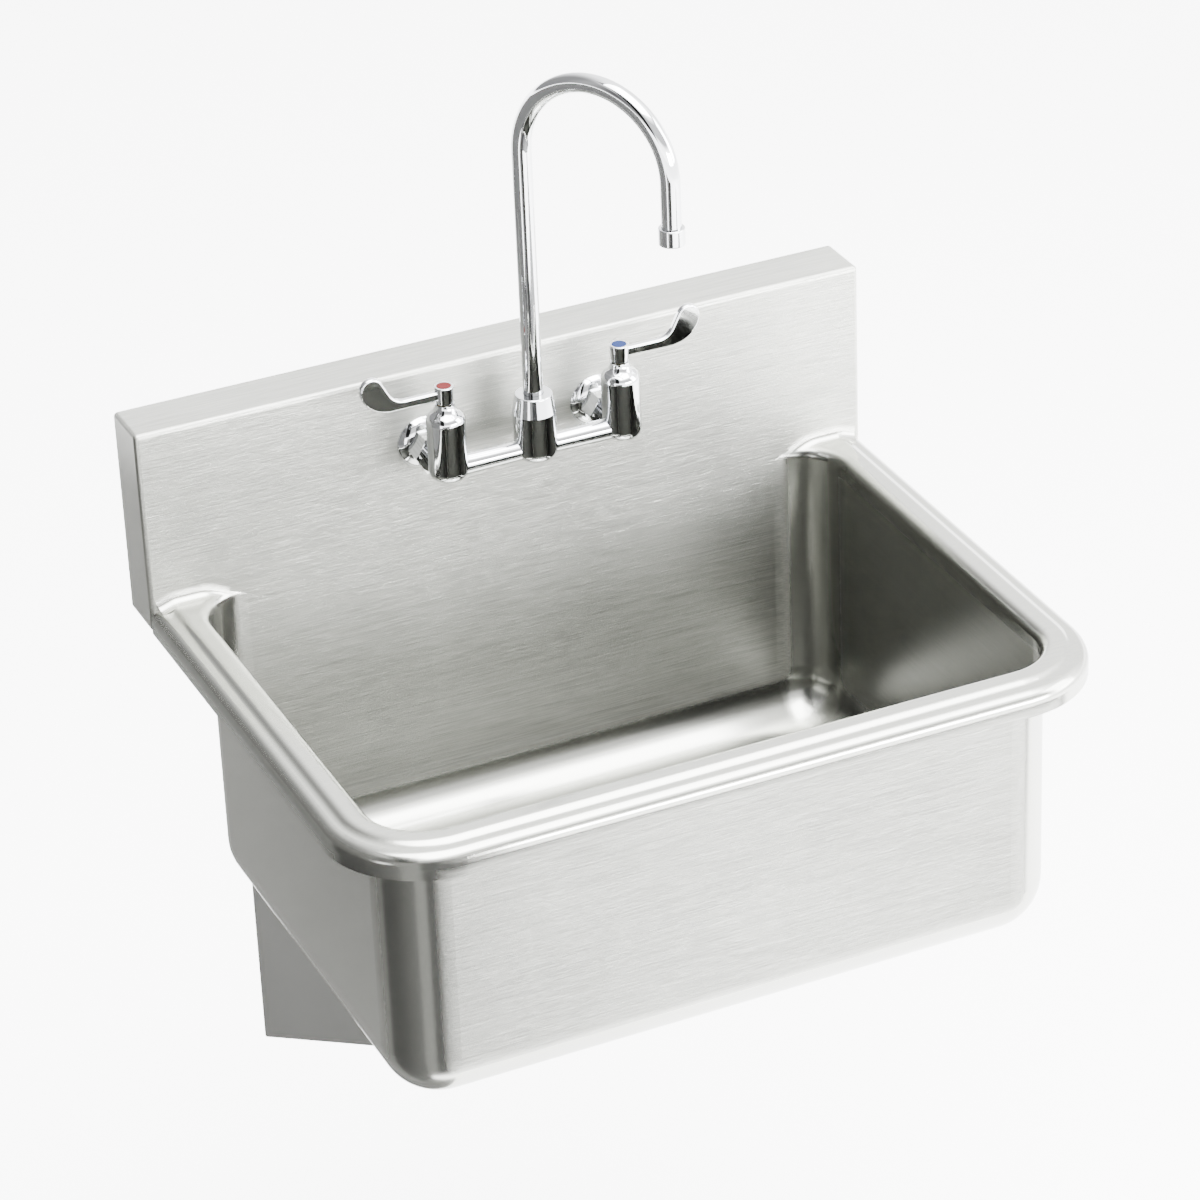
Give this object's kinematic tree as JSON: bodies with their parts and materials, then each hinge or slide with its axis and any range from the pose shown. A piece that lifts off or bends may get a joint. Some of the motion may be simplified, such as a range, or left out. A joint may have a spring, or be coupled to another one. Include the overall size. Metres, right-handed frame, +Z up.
{
  "type": "wall-mounted hand sink",
  "caption": "Wall-hung stainless steel hand sink with a deep rounded bowl, rolled rim, backsplash, gooseneck tap with lever handles, strainer drain, wall hanger and support brackets.",
  "frame": {"origin": "middle of the wall hanger's row of holes, on the face of the wall", "axes": "+Z up, +Y into the wall, so the sink reaches out along -Y; +X to the right seen from the front"},
  "size_m": [0.635, 0.4953, 0.892],
  "materials": {
    "basin_steel": "satin brushed stainless steel",
    "bracket_steel": "rolled stainless steel",
    "fastener_steel": "turned stainless steel",
    "drain_steel": "polished stainless steel",
    "tap_chrome": "polished chrome plate",
    "raw_brass": "machined brass",
    "rubber": "black rubber",
    "fibre": "pressed fibre",
    "nylon": "moulded plastic",
    "disc_ceramic": "lapped ceramic",
    "hot_button": "red gloss plastic",
    "cold_button": "blue gloss plastic"
  },
  "bodies": {
    "sink": {"backsplash": "basin_steel", "bowl": "basin_steel", "bracket_nuts": "fastener_steel", "bracket_washers": "fastener_steel", "cold_bonnet": "tap_chrome", "cold_cartridge": "raw_brass", "cold_coupling_nut": "tap_chrome", "cold_escutcheon": "tap_chrome", "cold_fixed_disc": "disc_ceramic", "cold_seat_seal": "rubber", "cold_shank": "raw_brass", "collar_nut": "tap_chrome", "coupling_washers": "rubber", "drain_gasket": "rubber", "drain_locknut": "raw_brass", "friction_ring": "fibre", "grid_screw": "fastener_steel", "hot_bonnet": "tap_chrome", "hot_cartridge": "raw_brass", "hot_coupling_nut": "tap_chrome", "hot_escutcheon": "tap_chrome", "hot_fixed_disc": "disc_ceramic", "hot_seat_seal": "rubber", "hot_shank": "raw_brass", "left_bracket": "bracket_steel", "left_end_cap": "basin_steel", "right_bracket": "bracket_steel", "right_end_cap": "basin_steel", "shank_locknuts": "raw_brass", "shank_washers": "fastener_steel", "spout_bush": "nylon", "strainer_body": "drain_steel", "strainer_grid": "drain_steel", "tap_body": "tap_chrome", "wall_hanger": "bracket_steel", "weld_studs": "fastener_steel"},
    "hot_handle": {"hot_handle": "tap_chrome", "hot_handle_screw": "fastener_steel", "hot_index_button": "hot_button", "hot_stem": "raw_brass", "hot_moving_disc": "disc_ceramic"},
    "cold_handle": {"cold_handle": "tap_chrome", "cold_handle_screw": "fastener_steel", "cold_index_button": "cold_button", "cold_stem": "raw_brass", "cold_moving_disc": "disc_ceramic"},
    "spout": {"spout_tube": "tap_chrome", "spout_orings": "rubber", "outlet_shell": "tap_chrome", "flow_insert": "nylon"}
  },
  "joints": [
    {"name": "hot_handle_turn", "type": "hinge", "parent": "sink", "child": "hot_handle", "pos_m": [-0.0762, -0.1016, 0], "axis": [0, 0, 1], "range_deg": [0, 90]},
    {"name": "cold_handle_turn", "type": "hinge", "parent": "sink", "child": "cold_handle", "pos_m": [0.0762, -0.1016, 0], "axis": [0, 0, 1], "range_deg": [-90, 0]},
    {"name": "spout_swivel", "type": "hinge", "parent": "sink", "child": "spout", "pos_m": [0, -0.1016, 0], "axis": [0, 0, 1], "range_deg": [-122, 58]}
  ]
}
